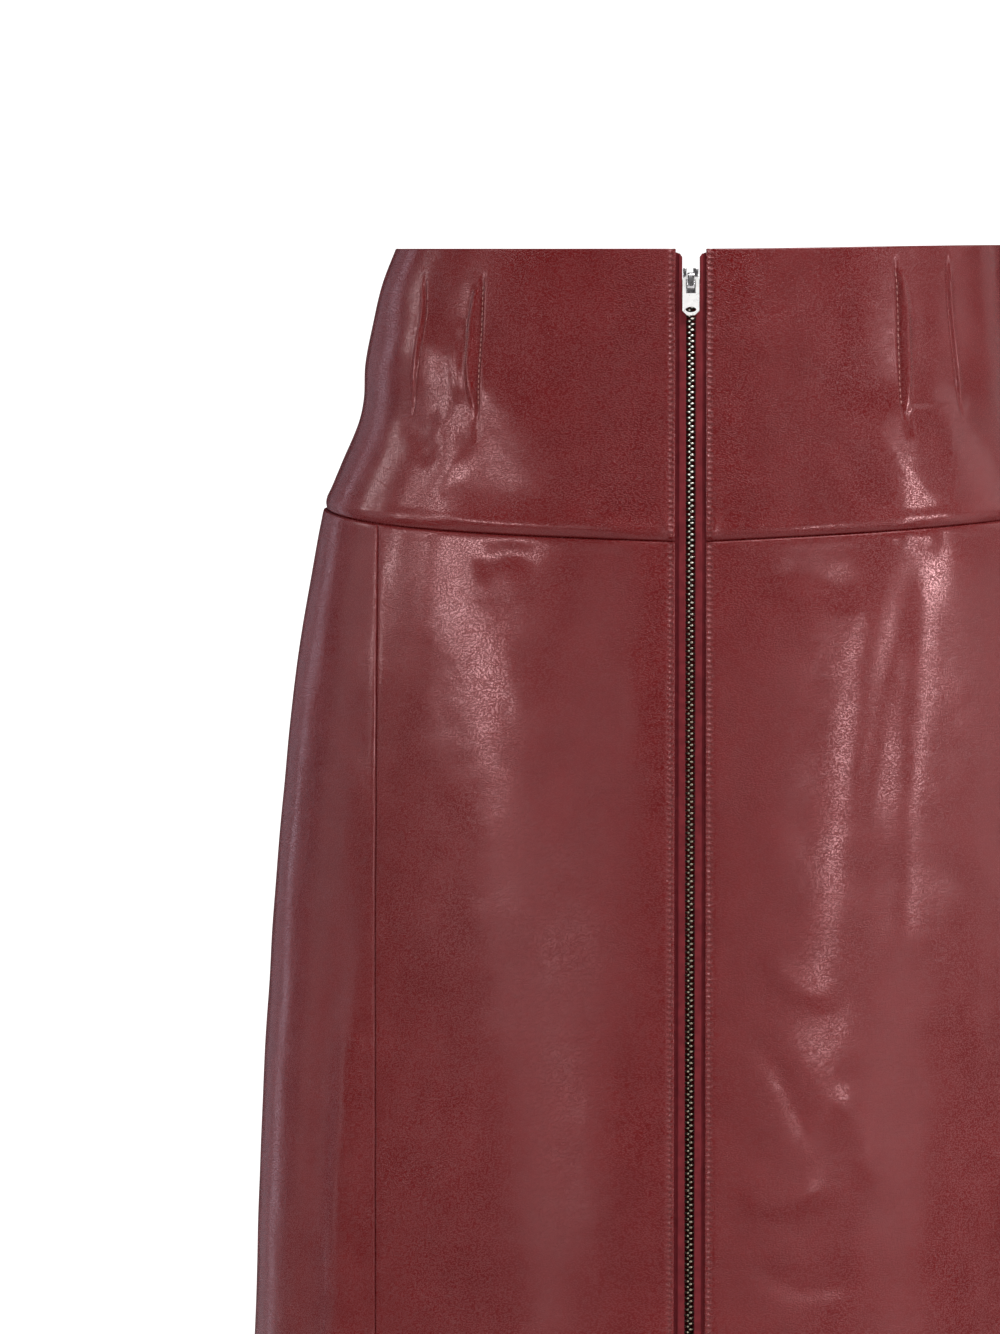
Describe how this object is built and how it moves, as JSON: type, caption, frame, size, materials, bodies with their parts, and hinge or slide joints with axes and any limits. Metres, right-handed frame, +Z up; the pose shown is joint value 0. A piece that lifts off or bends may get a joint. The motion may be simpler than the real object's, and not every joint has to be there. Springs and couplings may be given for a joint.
{
  "type": "leather skirt",
  "caption": "High-waisted burgundy leather pencil skirt in its worn hollow form, with a deep tucked yoke and an exposed metal zip down the whole front.",
  "frame": {"origin": "middle of the waist opening, level with the front waist edge", "axes": "+Z up, -Y to the front, +X to the wearer's left"},
  "size_m": [0.402, 0.2899, 0.7216],
  "materials": {
    "burgundy_leather": "smooth nappa with a soft satin shine and fine grain",
    "zip_tape": "matt burgundy band beside the teeth",
    "antique_brass": "dark antique brass with worn tips",
    "nickel": "satin nickel",
    "bright_nickel": "polished bright nickel"
  },
  "bodies": {
    "skirt": {"yoke_front_left": "burgundy_leather", "yoke_front_right": "burgundy_leather", "yoke_back": "burgundy_leather", "front_left": "burgundy_leather", "front_right": "burgundy_leather", "side_left": "burgundy_leather", "side_right": "burgundy_leather", "back": "burgundy_leather", "tape_left": "zip_tape", "tape_right": "zip_tape", "zip_chain": "antique_brass", "slider": "nickel", "top_stop_left": "nickel", "top_stop_right": "nickel", "bottom_stop": "nickel"},
    "pull_tab": {"pull_tab": "bright_nickel"}
  },
  "joints": [
    {"name": "pull_tab_swing", "type": "hinge", "parent": "skirt", "child": "pull_tab", "pos_m": [0, -0.0993, -0.01277], "axis": [-1, 0, 0], "range_deg": [0, 165]}
  ]
}
